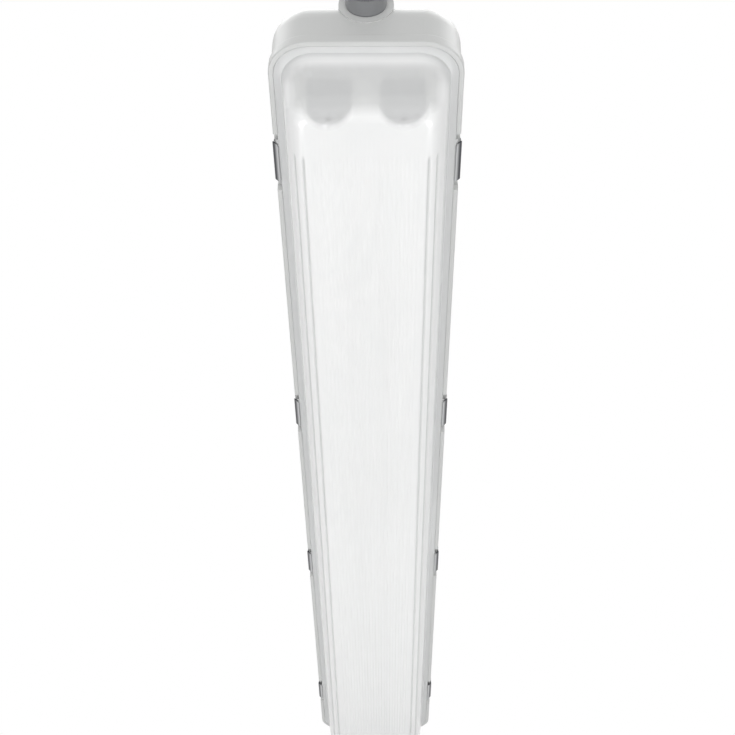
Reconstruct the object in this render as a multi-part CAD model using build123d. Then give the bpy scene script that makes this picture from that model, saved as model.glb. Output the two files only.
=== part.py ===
from build123d import *
import math
import os

# Vapor tight ceiling light for two 4 ft T8 lamps. Millimetres, X across, Y along the length,
# Z up. The origin is in the ceiling plane, above the middle of the fixture, and the cable
# gland is at the -Y end.

# Rim and housing
END_ROOM = 55.3
RIM_WIDTH = 158.0
RIM_CORNER_R = 33.0
RIM_HEIGHT = 10.0
RIM_EDGE_R = 1.5
LIP_T = 4.0
SHELF_T = 3.0
SHELF_WIDTH = 11.0
GASKET_RIB_T = 1.5
GASKET_RIB_H = 3.0
BODY_INSET = 2.0
BODY_HEIGHT = 52.0
BACK_EDGE_R = 29.0
WALL_T = 2.5

# Ceiling brackets and the housing pads that they hold
BRACKET_SHEET_T = 1.5
BRACKET_LENGTH = 44.0
BRACKET_SPACING = 800.0
PAD_HEIGHT = 7.5
PAD_HEAD_WIDTH = 60.0
PAD_HEAD_T = 2.5
PAD_STEM_WIDTH = 53.0
PAD_CLEARANCE = 0.3
CEILING_HOLE_R = 2.75
SCREW_HEAD_POCKET_R = 7.0
SCREW_HEAD_POCKET_DEPTH = 4.0

# Lens
LENS_LAMP_GAP = 20.0
LENS_WALL_T = 2.5
LENS_WALL_INSET = 10.6
LENS_CORNER_EXTRA = 2.9
LENS_DRAFT_DEG = 6.0
LENS_EDGE_R = 18.0
FLANGE_T = 3.0
FLANGE_GAP = 0.5
RIB_R = 0.9
RIB_PROUD = 0.5
RIB_END_INSET = 67.0
RIB_ANGLES_DEG = (49.5, 62.5, 75.5)
CATCH_REACH = 2.3
CATCH_LENGTH = 42.0
CATCH_BEVEL = 2.0

# Latches
LATCH_END_DISTANCE = 131.0
LATCH_MIDDLE_SPACING = 314.0
LATCH_LENGTH = 44.0
LATCH_SHEET_T = 1.2
LATCH_STAND_OFF = 0.1
LATCH_HOOK_GAP = 0.5
LATCH_HOOK_REACH = 2.0
LATCH_POCKET_LENGTH = 66.0
LATCH_WEB_GAP = 0.5
KNUCKLE_LENGTH = 16.0
KNUCKLE_SIDE_GAP = 0.3
LUG_T = 4.0
PIVOT_HEIGHT = 5.0
PIN_R = 1.25
PIN_CLEARANCE = 0.08
PIN_HEAD_R = 2.0
PIN_HEAD_T = 1.5
SHOULDER_DROP = 9.5
POCKET_CLEARANCE = 0.4
POCKET_HEADROOM = 1.8
POCKET_WALL_T = 2.7

# Lamps and lampholders
LAMP_LENGTH = 1199.4
LAMP_PITCH = 60.0
LAMP_DROP = 17.5
TUBE_R = 12.75
TUBE_WALL_T = 0.8
CAP_R = 13.1
CAP_LENGTH = 17.0
CAP_END_T = 2.0
CAP_CLEARANCE = 0.05
LAMP_PIN_R = 1.175
LAMP_PIN_PITCH = 12.7
LAMP_PIN_LENGTH = 7.1
HOLDER_WIDTH = 36.0
HOLDER_T = 16.0
HOLDER_EDGE_R = 1.5
HOLDER_FACE_GAP = 0.3
HOLDER_FOOT_WIDTH = 16.0
HOLDER_FOOT_T = 8.0
HOLDER_FOOT_HEIGHT = 5.0
FOOT_CLEARANCE = 0.2
ROTOR_R = 11.0
ROTOR_T = 8.0
ROTOR_CLEARANCE = 0.15
ROTOR_SLOT_WIDTH = 2.6
ENTRY_SLOT_WIDTH = 3.2
CONTACT_POCKET_R = 9.0
CONTACT_POCKET_DEPTH = 4.5
CONTACT_SIZE = (5.0, 3.8, 1.0)

# Gear tray and what it carries
TRAY_SIDE_GAP = 5.9
TRAY_END_GAP = 17.0
TRAY_T = 0.8
TRAY_FLANGE_H = 12.0
TRAY_RAISE = 2.0
POST_R = 5.0
POST_INSET = 12.0
POST_END_DISTANCE = 175.0
POST_MIDDLE_SPACING = 340.0
TRAY_SCREW_R = 2.0
TRAY_SCREW_HEAD_R = 4.0
TRAY_SCREW_HEAD_T = 2.4
TRAY_SCREW_LENGTH = 14.0
SCREW_CLEARANCE = 0.1
BALLAST_LENGTH = 240.0
BALLAST_WIDTH = 40.0
BALLAST_HEIGHT = 28.0
BALLAST_EAR_LENGTH = 14.0
BALLAST_EAR_T = 1.2
BALLAST_CASE_T = 1.0
BALLAST_EDGE_R = 2.5
CORE_CLEARANCE = 0.2
BALLAST_TERMINAL_SIZE = (34.0, 12.0, 11.0)
SMALL_SCREW_R = 1.6
SMALL_SCREW_HEAD_R = 3.0
SMALL_SCREW_HEAD_T = 2.0
SMALL_SCREW_LENGTH = 6.0
TERMINAL_END_DISTANCE = 95.0
TERMINAL_SIZE = (32.0, 22.0, 16.0)
TERMINAL_PITCH = 10.0
TERMINAL_EAR_WIDTH = 8.0
TERMINAL_EAR_T = 4.0
CLAMP_SCREW_R = 2.0
CLAMP_SCREW_DEPTH = 4.0
CLAMP_ROW_SPACING = 12.0
EARTH_STUD_DISTANCE = 60.0
EARTH_STUD_R = 2.0
EARTH_STUD_HEIGHT = 12.0
EARTH_NUT_APOTHEM = 3.5
EARTH_NUT_T = 3.2
LEAD_R = 1.1
LEAD_LIFT = 0.2
LAMP_LEAD_X = 12.0
SUPPLY_LEAD_X = 4.0
LEAD_BEND_R = 60.0
LEAD_LEVEL_RUN = 30.0
LEAD_RAMP = 40.0
LEAD_JOG = 90.0

# Gland and blind plug in the end bosses
BOSS_R = 22.4
BOSS_RISE = 8.4
BOSS_ROOT = 3.0
BOSS_PROUD = 1.0
BOSS_HOLE_R = 10.2
BOSS_WALL_T = 4.5
LOCKNUT_SPACE_R = 15.5
LOCKNUT_ROOM = 2.0
WASHER_T = 1.5
WASHER_R = 16.4
GLAND_COLLAR_R = 16.9
GLAND_COLLAR_LENGTH = 14.0
GLAND_SHANK_R = 10.0
GLAND_SHANK_REACH = 3.0
GLAND_NECK_R = 11.0
GLAND_NECK_LENGTH = 13.0
GLAND_BORE_R = 8.0
SEAL_BORE_R = 5.5
SEAL_LENGTH = 12.0
SEAL_CLEARANCE = 0.05
NUT_R = 15.6
NUT_MOUTH_R = 6.5
NUT_FRONT_R = 10.0
NUT_LENGTH = 22.0
NUT_GRIP_LENGTH = 9.0
NUT_NOSE_FULLNESS = 3.5
NUT_GAP = 0.4
NUT_CLEARANCE = 0.1
NUT_RIDGES = 18
NUT_RIDGE_R = 0.9
THREAD_CLEARANCE = 0.05
LOCKNUT_APOTHEM = 13.0
LOCKNUT_T = 5.0
PLUG_R = 16.5
PLUG_FLANGE_T = 5.0
PLUG_EDGE_R = 2.0

# Sizes worked out from the sizes above
RIM_LENGTH = LAMP_LENGTH + 2 * END_ROOM
LENS_DEPTH = LAMP_DROP + HOLDER_WIDTH / 2 + LENS_LAMP_GAP + LENS_WALL_T
LENS_DRAFT_INSET = LENS_DEPTH * math.tan(math.radians(LENS_DRAFT_DEG))
LENS_CORNER_R = LENS_EDGE_R + LENS_DRAFT_INSET + LENS_CORNER_EXTRA

# Levels
HOUSING_TOP = -(BRACKET_SHEET_T + PAD_HEIGHT)
RIM_TOP = HOUSING_TOP - BODY_HEIGHT
RIM_BOTTOM = RIM_TOP - RIM_HEIGHT
SHELF_BOTTOM = RIM_TOP - SHELF_T
FLANGE_TOP = RIM_BOTTOM + FLANGE_T
LENS_BOTTOM = RIM_BOTTOM - LENS_DEPTH
TRAY_TOP = RIM_BOTTOM + TRAY_RAISE
TRAY_BOTTOM = TRAY_TOP - TRAY_T
LAMP_Z = RIM_BOTTOM - LAMP_DROP
RIM_X = RIM_WIDTH / 2
RIM_Y = RIM_LENGTH / 2
BODY_Y = RIM_Y - BODY_INSET
TRAY_X = RIM_X - LENS_WALL_INSET - LENS_WALL_T - TRAY_SIDE_GAP
TRAY_Y = RIM_Y - LENS_WALL_INSET - LENS_WALL_T - TRAY_END_GAP
POST_X = TRAY_X - POST_INSET
POST_STATIONS = (
    POST_END_DISTANCE - RIM_Y,
    -POST_MIDDLE_SPACING / 2,
    POST_MIDDLE_SPACING / 2,
    RIM_Y - POST_END_DISTANCE)

# Latch places, measured outwards from the middle of the fixture
LATCH_STATIONS = (
    LATCH_END_DISTANCE - RIM_Y,
    -LATCH_MIDDLE_SPACING / 2,
    LATCH_MIDDLE_SPACING / 2,
    RIM_Y - LATCH_END_DISTANCE)
CATCH_X = RIM_X - LIP_T - FLANGE_GAP + CATCH_REACH
PLATE_IN_X = RIM_X + LATCH_STAND_OFF
PLATE_OUT_X = PLATE_IN_X + LATCH_SHEET_T
KNUCKLE_R = PIN_R + PIN_CLEARANCE + LATCH_SHEET_T
PIVOT_X = PLATE_OUT_X - KNUCKLE_R
PIVOT_Z = RIM_TOP + PIVOT_HEIGHT
POCKET_X = PIVOT_X - KNUCKLE_R - POCKET_CLEARANCE
LUG_INNER_Y = KNUCKLE_LENGTH / 2 + KNUCKLE_SIDE_GAP
LUG_OUTER_Y = LUG_INNER_Y + LUG_T

# Lamp places
HOLDER_FACE_Y = LAMP_LENGTH / 2 + HOLDER_FACE_GAP
FOOT_FACE_Y = HOLDER_FACE_Y + HOLDER_T / 2 - HOLDER_FOOT_T / 2

# Places of the gear on the tray
TERMINAL_Y = TERMINAL_END_DISTANCE - RIM_Y
EARTH_STUD_Y = TERMINAL_Y + EARTH_STUD_DISTANCE
LEAD_Z = TRAY_TOP + LEAD_R + LEAD_LIFT
BALLAST_LEAD_Z = TRAY_TOP + BALLAST_EAR_T + BALLAST_TERMINAL_SIZE[2] / 2

# End boss places
BOSS_FACE_Y = BODY_Y + BOSS_PROUD
BOSS_Z = HOUSING_TOP + BOSS_RISE - BOSS_R
BOSS_ROOT_Y = BODY_Y - BACK_EDGE_R - BOSS_ROOT
LOCKNUT_SEAT_Y = BOSS_FACE_Y - BOSS_WALL_T
SHANK_END_Y = LOCKNUT_SEAT_Y - LOCKNUT_T - GLAND_SHANK_REACH
FLANGE_SEAT_Y = BOSS_FACE_Y + WASHER_T
GLAND_FRONT_Y = FLANGE_SEAT_Y + GLAND_COLLAR_LENGTH
GLAND_NECK_END_Y = GLAND_FRONT_Y + GLAND_NECK_LENGTH
NUT_START_Y = GLAND_FRONT_Y + NUT_GAP

SIDES = (("left", -1), ("right", 1))
ENDS = (("near", -1), ("far", 1))


def rounded_block(inset, corner_r, bottom, top):
    """Block with the rim's outline moved inwards by inset, between two levels."""
    outline = RectangleRounded(RIM_WIDTH - 2 * inset, RIM_LENGTH - 2 * inset, corner_r)
    return Pos(0, 0, bottom) * extrude(outline, top - bottom)


def span_box(x_range, y_range, z_range):
    """Box between two corners."""
    (x0, x1), (y0, y1), (z0, z1) = x_range, y_range, z_range
    centre = Pos((x0 + x1) / 2, (y0 + y1) / 2, (z0 + z1) / 2)
    return centre * Box(abs(x1 - x0), abs(y1 - y0), abs(z1 - z0))


def rod_y(radius, x, z, y0, y1):
    """Round bar along Y."""
    turned = Pos(x, (y0 + y1) / 2, z) * Rot(90, 0, 0)
    return turned * Cylinder(radius, abs(y1 - y0))


def rod_z(radius, x, y, z0, z1):
    """Round bar along Z."""
    return Pos(x, y, (z0 + z1) / 2) * Cylinder(radius, abs(z1 - z0))


def pan_screw(radius, head_r, head_t, x, y, seat, length, way):
    """Screw with a rounded pan head on a seat; way is +1 for a shank going up."""
    shank = rod_z(radius, x, y, seat, seat + way * length)
    head = rod_z(head_r, x, y, seat - way * head_t, seat)
    outer = head.edges().sort_by(Axis.Z)[0 if way > 0 else -1]
    return fillet(outer, head_t / 2) + shank


def on_both_sides(shape):
    """The shape and its mirror image across the middle plane of the width."""
    return shape + mirror(shape, about=Plane.YZ)


def latch_pocket(station):
    """What is cut from the right side of the rim and body so that one latch can swing."""
    half = LATCH_POCKET_LENGTH / 2
    reach = RIM_X + LIP_T
    lip = span_box(
        (RIM_X - LIP_T, reach), (station - half, station + half), (RIM_BOTTOM - 1, SHELF_BOTTOM))
    web = span_box(
        (PLATE_IN_X - LATCH_WEB_GAP, reach),
        (station - half, station + half),
        (RIM_BOTTOM - 1, RIM_TOP + 1))
    end = LUG_OUTER_Y + PIN_HEAD_T + POCKET_CLEARANCE
    knuckle = span_box(
        (POCKET_X, reach),
        (station - end, station + end),
        (RIM_TOP - SHELF_T / 3, PIVOT_Z + KNUCKLE_R + POCKET_HEADROOM))
    return lip + web + knuckle


def latch_lugs(station):
    """The two lugs on the right side that hold one latch pin."""
    lugs = Part()
    for way in (-1, 1):
        y0 = station + way * LUG_INNER_Y
        y1 = station + way * LUG_OUTER_Y
        eye = rod_y(KNUCKLE_R, PIVOT_X, PIVOT_Z, y0, y1)
        root = span_box(
            (POCKET_X - 1, PIVOT_X), (y0, y1), (PIVOT_Z - KNUCKLE_R, PIVOT_Z + KNUCKLE_R))
        hole = rod_y(PIN_R + PIN_CLEARANCE / 2, PIVOT_X, PIVOT_Z, y0 - way, y1 + way)
        lugs += eye + root - hole
    return lugs


def latch_backing(station):
    """Wall behind one knuckle pocket, on the right side."""
    half = LUG_OUTER_Y + PIN_HEAD_T + POCKET_CLEARANCE + POCKET_WALL_T
    return span_box(
        (POCKET_X - POCKET_WALL_T, RIM_X - BODY_INSET - WALL_T / 2),
        (station - half, station + half),
        (RIM_TOP, PIVOT_Z + KNUCKLE_R + POCKET_HEADROOM + POCKET_WALL_T))


def bracket_pad(y):
    """Moulded T pad on the back that one ceiling bracket holds."""
    head_top = -BRACKET_SHEET_T
    head = span_box(
        (-PAD_HEAD_WIDTH / 2, PAD_HEAD_WIDTH / 2),
        (y - BRACKET_LENGTH / 2, y + BRACKET_LENGTH / 2),
        (head_top - PAD_HEAD_T, head_top))
    stem = span_box(
        (-PAD_STEM_WIDTH / 2, PAD_STEM_WIDTH / 2),
        (y - BRACKET_LENGTH / 2, y + BRACKET_LENGTH / 2),
        (HOUSING_TOP - WALL_T / 2, head_top - PAD_HEAD_T))
    pocket = rod_z(SCREW_HEAD_POCKET_R, 0, y, head_top - SCREW_HEAD_POCKET_DEPTH, head_top + 1)
    return head + stem - pocket


def make_housing():
    body = rounded_block(BODY_INSET, RIM_CORNER_R - BODY_INSET, SHELF_BOTTOM, HOUSING_TOP)
    body = fillet(body.faces().sort_by(Axis.Z)[-1].edges(), BACK_EDGE_R)
    rim = rounded_block(0, RIM_CORNER_R, RIM_BOTTOM, RIM_TOP)
    rim_faces = rim.faces().sort_by(Axis.Z)
    rim = fillet(rim_faces[0].edges() + rim_faces[-1].edges(), RIM_EDGE_R)
    housing = body + rim
    for _, way in ENDS:
        housing += rod_y(BOSS_R, 0, BOSS_Z, way * BOSS_FACE_Y, way * BOSS_ROOT_Y)
    inner = BODY_INSET + WALL_T
    cavity = rounded_block(inner, RIM_CORNER_R - inner, RIM_TOP, HOUSING_TOP - WALL_T)
    cavity = fillet(cavity.faces().sort_by(Axis.Z)[-1].edges(), BACK_EDGE_R - WALL_T)
    opening = rounded_block(SHELF_WIDTH, RIM_CORNER_R - SHELF_WIDTH, RIM_BOTTOM - 1, RIM_TOP)
    channel = rounded_block(LIP_T, RIM_CORNER_R - LIP_T, RIM_BOTTOM - 1, SHELF_BOTTOM)
    housing -= cavity + opening + channel
    rib_inset = SHELF_WIDTH - GASKET_RIB_T
    rib = rounded_block(rib_inset, RIM_CORNER_R - rib_inset, SHELF_BOTTOM - GASKET_RIB_H, SHELF_BOTTOM)
    housing += rib - opening
    for station in LATCH_STATIONS:
        housing += on_both_sides(latch_backing(station))
        housing -= on_both_sides(latch_pocket(station))
        housing += on_both_sides(latch_lugs(station))
    for _, way in ENDS:
        seat = way * LOCKNUT_SEAT_Y
        housing -= rod_y(LOCKNUT_SPACE_R, 0, BOSS_Z, seat, way * (SHANK_END_Y - LOCKNUT_ROOM))
        housing -= rod_y(BOSS_HOLE_R, 0, BOSS_Z, way * (BOSS_FACE_Y + 1), seat)
        housing += bracket_pad(way * BRACKET_SPACING / 2)
    for y in POST_STATIONS:
        post = rod_z(POST_R, POST_X, y, TRAY_TOP, HOUSING_TOP - WALL_T / 2)
        pilot = rod_z(
            TRAY_SCREW_R + SCREW_CLEARANCE, POST_X, y, TRAY_TOP - 1, TRAY_TOP + TRAY_SCREW_LENGTH)
        housing += on_both_sides(post - pilot)
    return housing


def make_gasket():
    outer = LIP_T + FLANGE_GAP / 2
    inner = SHELF_WIDTH - GASKET_RIB_T - FLANGE_GAP / 4
    ring = rounded_block(outer, RIM_CORNER_R - outer, FLANGE_TOP, SHELF_BOTTOM)
    return ring - rounded_block(inner, RIM_CORNER_R - inner, FLANGE_TOP - 1, SHELF_BOTTOM + 1)


def lens_shell(wall):
    """Drafted tub of the lens, moved inwards by wall, with its rounded lower edge."""
    inset = LENS_WALL_INSET + wall
    outline = RectangleRounded(
        RIM_WIDTH - 2 * inset, RIM_LENGTH - 2 * inset, LENS_CORNER_R - wall)
    depth = LENS_DEPTH - wall
    tub = Pos(0, 0, RIM_BOTTOM) * extrude(outline, -depth, taper=LENS_DRAFT_DEG)
    return fillet(tub.faces().sort_by(Axis.Z)[0].edges(), LENS_EDGE_R - wall)


def lens_ribs():
    """Lengthwise ribs on the inside of the lens's rounded lower edge, right side."""
    corner_x = RIM_X - LENS_WALL_INSET - LENS_DRAFT_INSET
    centre_x = corner_x - LENS_EDGE_R * math.tan(math.radians((90 - LENS_DRAFT_DEG) / 2))
    centre_z = LENS_BOTTOM + LENS_EDGE_R
    reach = LENS_EDGE_R - LENS_WALL_T + RIB_R - RIB_PROUD
    half = RIM_Y - RIB_END_INSET
    ribs = Part()
    for angle in RIB_ANGLES_DEG:
        x = centre_x + reach * math.cos(math.radians(angle))
        z = centre_z - reach * math.sin(math.radians(angle))
        ribs += rod_y(RIB_R, x, z, -half, half)
    return ribs


def catch_tab(station):
    """Bevelled tab on the right edge of the lens flange, under which one latch hooks."""
    root_x = CATCH_X - CATCH_REACH - FLANGE_T
    outline = Polyline(
        (root_x, RIM_BOTTOM),
        (CATCH_X - CATCH_BEVEL, RIM_BOTTOM),
        (CATCH_X, RIM_BOTTOM + CATCH_BEVEL),
        (CATCH_X, FLANGE_TOP),
        (root_x, FLANGE_TOP),
        close=True)
    face = Plane.XZ * make_face(outline)
    tab = extrude(face, CATCH_LENGTH / 2, both=True)
    return Pos(0, station, 0) * tab


def make_diffuser():
    flange_inset = LIP_T + FLANGE_GAP
    flange = rounded_block(flange_inset, RIM_CORNER_R - flange_inset, RIM_BOTTOM, FLANGE_TOP)
    lens = flange + lens_shell(0)
    inner = LENS_WALL_INSET + LENS_WALL_T
    lens -= rounded_block(inner, LENS_CORNER_R - LENS_WALL_T, RIM_BOTTOM, FLANGE_TOP + 1)
    lens -= lens_shell(LENS_WALL_T)
    lens += on_both_sides(lens_ribs())
    for station in LATCH_STATIONS:
        lens += on_both_sides(catch_tab(station))
    return lens


def make_latch(side, station):
    """Formed strip: a knuckle on the pin, a tongue, a wide plate and a lip hooked inwards."""
    level = CATCH_X - RIM_BOTTOM - CATCH_BEVEL + LATCH_HOOK_GAP * math.sqrt(2)
    tip_x = CATCH_X - LATCH_HOOK_REACH
    lean = LATCH_SHEET_T / math.sqrt(2)
    out_level = level + LATCH_SHEET_T * math.sqrt(2)
    shoulder = PIVOT_Z - SHOULDER_DROP
    hook = Polyline(
        (PLATE_IN_X, shoulder),
        (PLATE_IN_X, PLATE_IN_X - level),
        (tip_x, tip_x - level),
        (tip_x + lean, tip_x - level - lean),
        (PLATE_OUT_X, PLATE_OUT_X - out_level),
        (PLATE_OUT_X, shoulder),
        close=True)
    plate = extrude(Plane.XZ * make_face(hook), LATCH_LENGTH / 2, both=True)
    tongue = span_box(
        (PLATE_IN_X, PLATE_OUT_X),
        (-KNUCKLE_LENGTH / 2, KNUCKLE_LENGTH / 2),
        (shoulder - LATCH_SHEET_T, PIVOT_Z))
    half = KNUCKLE_LENGTH / 2
    knuckle = rod_y(KNUCKLE_R, PIVOT_X, PIVOT_Z, -half, half)
    bore = rod_y(PIN_R + PIN_CLEARANCE, PIVOT_X, PIVOT_Z, -half - 1, half + 1)
    latch = Pos(0, station, 0) * (plate + tongue + knuckle - bore)
    return latch if side > 0 else mirror(latch, about=Plane.YZ)


def make_latch_pins(side):
    pins = []
    for station in LATCH_STATIONS:
        x = side * PIVOT_X
        head_seat = station - LUG_OUTER_Y
        pin = rod_y(PIN_R, x, PIVOT_Z, head_seat, station + LUG_OUTER_Y)
        pins.append(pin + rod_y(PIN_HEAD_R, x, PIVOT_Z, head_seat - PIN_HEAD_T, head_seat))
    return Compound(children=pins)


def make_bracket(y):
    """Stainless clip: a plate on the ceiling with sides and hooks under the pad's head."""
    inner = PAD_HEAD_WIDTH / 2 + PAD_CLEARANCE
    outer = inner + BRACKET_SHEET_T
    y_range = (y - BRACKET_LENGTH / 2, y + BRACKET_LENGTH / 2)
    hook_top = -BRACKET_SHEET_T - PAD_HEAD_T - PAD_CLEARANCE / 2
    low = hook_top - BRACKET_SHEET_T
    bracket = span_box((-outer, outer), y_range, (-BRACKET_SHEET_T, 0))
    bracket -= rod_z(CEILING_HOLE_R, 0, y, -BRACKET_SHEET_T - 1, 1)
    side = span_box((inner, outer), y_range, (low, -BRACKET_SHEET_T))
    hook = span_box((PAD_STEM_WIDTH / 2 + PAD_CLEARANCE, outer), y_range, (low, hook_top))
    return bracket + on_both_sides(side + hook)


def make_tray():
    tray = span_box((-TRAY_X, TRAY_X), (-TRAY_Y, TRAY_Y), (TRAY_BOTTOM, TRAY_TOP))
    flange = span_box(
        (TRAY_X - TRAY_T, TRAY_X), (-TRAY_Y, TRAY_Y), (TRAY_TOP, TRAY_TOP + TRAY_FLANGE_H))
    tray += on_both_sides(flange)
    for x, y in fixing_places():
        tray -= rod_z(SMALL_SCREW_R + SCREW_CLEARANCE, x, y, TRAY_BOTTOM - 1, TRAY_TOP + 1)
    tray -= rod_z(EARTH_STUD_R + SCREW_CLEARANCE, 0, EARTH_STUD_Y, TRAY_BOTTOM - 1, TRAY_TOP + 1)
    for y in POST_STATIONS:
        tray -= on_both_sides(
            rod_z(TRAY_SCREW_R + SCREW_CLEARANCE, POST_X, y, TRAY_BOTTOM - 1, TRAY_TOP + 1))
    for _, way in ENDS:
        for _, side in SIDES:
            tray -= holder_foot(side, way, FOOT_CLEARANCE)
    return tray


def make_tray_screws():
    screws = []
    for y in POST_STATIONS:
        for _, side in SIDES:
            screws.append(pan_screw(
                TRAY_SCREW_R, TRAY_SCREW_HEAD_R, TRAY_SCREW_HEAD_T,
                side * POST_X, y, TRAY_BOTTOM, TRAY_SCREW_LENGTH, 1))
    return Compound(children=screws)


def holder_foot(side, way, clearance):
    """Foot of one lampholder, which passes up through the tray."""
    half_x = HOLDER_FOOT_WIDTH / 2 + clearance
    half_y = HOLDER_FOOT_T / 2 + clearance
    middle_y = way * (HOLDER_FACE_Y + HOLDER_T / 2)
    return span_box(
        (side * LAMP_PITCH / 2 - half_x, side * LAMP_PITCH / 2 + half_x),
        (middle_y - half_y, middle_y + half_y),
        (TRAY_BOTTOM - clearance, TRAY_TOP + HOLDER_FOOT_HEIGHT + clearance))


def make_lampholder(side, way):
    """Tombstone lampholder with a round bore for the rotor and an entry slot below it."""
    x = side * LAMP_PITCH / 2
    face = way * HOLDER_FACE_Y
    back = way * (HOLDER_FACE_Y + HOLDER_T)
    radius = HOLDER_WIDTH / 2
    holder = rod_y(radius, x, LAMP_Z, face, back)
    holder += span_box((x - radius, x + radius), (face, back), (LAMP_Z, TRAY_BOTTOM))
    ends = holder.faces().sort_by(Axis.Y)
    round_edges = ends[0].edges() + ends[-1].edges()
    low_edges = round_edges.filter_by(lambda edge: edge.center().Z < TRAY_BOTTOM - HOLDER_EDGE_R)
    holder = fillet(low_edges, HOLDER_EDGE_R)
    rotor_back = way * (HOLDER_FACE_Y + ROTOR_T + HOLDER_FACE_GAP + ROTOR_CLEARANCE)
    holder -= rod_y(ROTOR_R + ROTOR_CLEARANCE, x, LAMP_Z, face - way, rotor_back)
    holder -= rod_y(CONTACT_POCKET_R, x, LAMP_Z, rotor_back, rotor_back + way * CONTACT_POCKET_DEPTH)
    holder -= span_box(
        (x - ENTRY_SLOT_WIDTH / 2, x + ENTRY_SLOT_WIDTH / 2),
        (face - way, rotor_back),
        (LAMP_Z - radius - 1, LAMP_Z))
    return holder + holder_foot(side, way, 0)


def make_contacts():
    """Two contact blades on the back wall of each lampholder's pocket."""
    width, reach, thick = CONTACT_SIZE
    wall = HOLDER_FACE_Y + ROTOR_T + HOLDER_FACE_GAP + ROTOR_CLEARANCE + CONTACT_POCKET_DEPTH
    blades = []
    for _, way in ENDS:
        for _, side in SIDES:
            for pin in (-1, 1):
                x = side * LAMP_PITCH / 2 + pin * LAMP_PIN_PITCH / 2
                blades.append(span_box(
                    (x - width / 2, x + width / 2),
                    (way * (wall - reach), way * wall),
                    (LAMP_Z - thick / 2, LAMP_Z + thick / 2)))
    return Compound(children=blades)


def make_tube(side):
    """Glass lamp tube, which ends inside its caps."""
    half = LAMP_LENGTH / 2 - CAP_END_T - CAP_CLEARANCE
    x = side * LAMP_PITCH / 2
    return rod_y(TUBE_R, x, LAMP_Z, -half, half) - rod_y(TUBE_R - TUBE_WALL_T, x, LAMP_Z, -half, half)


def make_caps(side):
    x = side * LAMP_PITCH / 2
    caps = []
    for _, way in ENDS:
        end = way * LAMP_LENGTH / 2
        mouth = end - way * CAP_LENGTH
        cap = rod_y(CAP_R, x, LAMP_Z, end, mouth)
        cap -= rod_y(TUBE_R + CAP_CLEARANCE, x, LAMP_Z, end - way * CAP_END_T, mouth - way)
        caps.append(cap)
    return Compound(children=caps)


def make_lamp_pins(side):
    pins = []
    for _, way in ENDS:
        for pin in (-1, 1):
            x = side * LAMP_PITCH / 2 + pin * LAMP_PIN_PITCH / 2
            end = way * LAMP_LENGTH / 2
            pins.append(rod_y(LAMP_PIN_R, x, LAMP_Z, end, end + way * LAMP_PIN_LENGTH))
    return Compound(children=pins)


def make_rotors(side):
    """Slotted discs in the lampholders that turn with the lamp's pins."""
    x = side * LAMP_PITCH / 2
    rotors = []
    for _, way in ENDS:
        front = way * (HOLDER_FACE_Y + HOLDER_FACE_GAP)
        rotor = rod_y(ROTOR_R, x, LAMP_Z, front, front + way * ROTOR_T)
        slot_end = way * (LAMP_LENGTH / 2 + LAMP_PIN_LENGTH + CAP_CLEARANCE)
        rotor -= span_box(
            (x - ROTOR_R - 1, x + ROTOR_R + 1),
            (front - way, slot_end),
            (LAMP_Z - ROTOR_SLOT_WIDTH / 2, LAMP_Z + ROTOR_SLOT_WIDTH / 2))
        rotors.append(rotor)
    return Compound(children=rotors)


def make_ballast():
    half = BALLAST_LENGTH / 2
    top = TRAY_TOP + BALLAST_HEIGHT
    case = span_box(
        (-BALLAST_WIDTH / 2, BALLAST_WIDTH / 2),
        (-half, half),
        (TRAY_TOP, top))
    case = fillet(case.edges().filter_by(Axis.Y).sort_by(Axis.Z)[-2:], BALLAST_EDGE_R)
    ear = half + BALLAST_EAR_LENGTH
    plate = span_box(
        (-BALLAST_WIDTH / 2, BALLAST_WIDTH / 2), (-ear, ear), (TRAY_TOP, TRAY_TOP + BALLAST_EAR_T))
    case += plate
    for y in ballast_screw_places():
        case -= rod_z(SMALL_SCREW_R + SCREW_CLEARANCE, 0, y, TRAY_BOTTOM, top)
    for _, way in ENDS:
        case -= ballast_terminal(way)
    return case - ballast_space(0)


def ballast_space(clearance):
    """Room inside the ballast case, between its two terminal blocks."""
    half_x = BALLAST_WIDTH / 2 - BALLAST_CASE_T - clearance
    half_y = BALLAST_LENGTH / 2 - BALLAST_TERMINAL_SIZE[1] - BALLAST_CASE_T - clearance
    top = TRAY_TOP + BALLAST_HEIGHT - BALLAST_EDGE_R - clearance
    return span_box((-half_x, half_x), (-half_y, half_y), (TRAY_TOP, top))


def ballast_screw_places():
    """Middle of each ear of the ballast case, along Y."""
    reach = BALLAST_LENGTH / 2 + BALLAST_EAR_LENGTH / 2
    return (-reach, reach)


def ballast_terminal(way):
    """Block of push-in terminals let into one end of the ballast case."""
    width, depth, height = BALLAST_TERMINAL_SIZE
    end = way * BALLAST_LENGTH / 2
    bottom = TRAY_TOP + BALLAST_EAR_T
    return span_box((-width / 2, width / 2), (end - way * depth, end), (bottom, bottom + height))


def make_ballast_terminals():
    return Compound(children=[ballast_terminal(way) for _, way in ENDS])


def terminal_screw_places():
    """Middle of each ear of the terminal block, along X."""
    reach = TERMINAL_SIZE[0] / 2 + TERMINAL_EAR_WIDTH / 2
    return (-reach, reach)


def fixing_places():
    """Holes in the tray for the small screws, as x and y."""
    ballast = [(0, y) for y in ballast_screw_places()]
    terminal = [(x, TERMINAL_Y) for x in terminal_screw_places()]
    return ballast + terminal


def small_screw(x, y, seat):
    """Small screw, head up, through an ear and the tray."""
    return pan_screw(
        SMALL_SCREW_R, SMALL_SCREW_HEAD_R, SMALL_SCREW_HEAD_T, x, y, seat, SMALL_SCREW_LENGTH, -1)


def make_ballast_screws():
    seat = TRAY_TOP + BALLAST_EAR_T
    return Compound(children=[small_screw(0, y, seat) for y in ballast_screw_places()])


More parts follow.
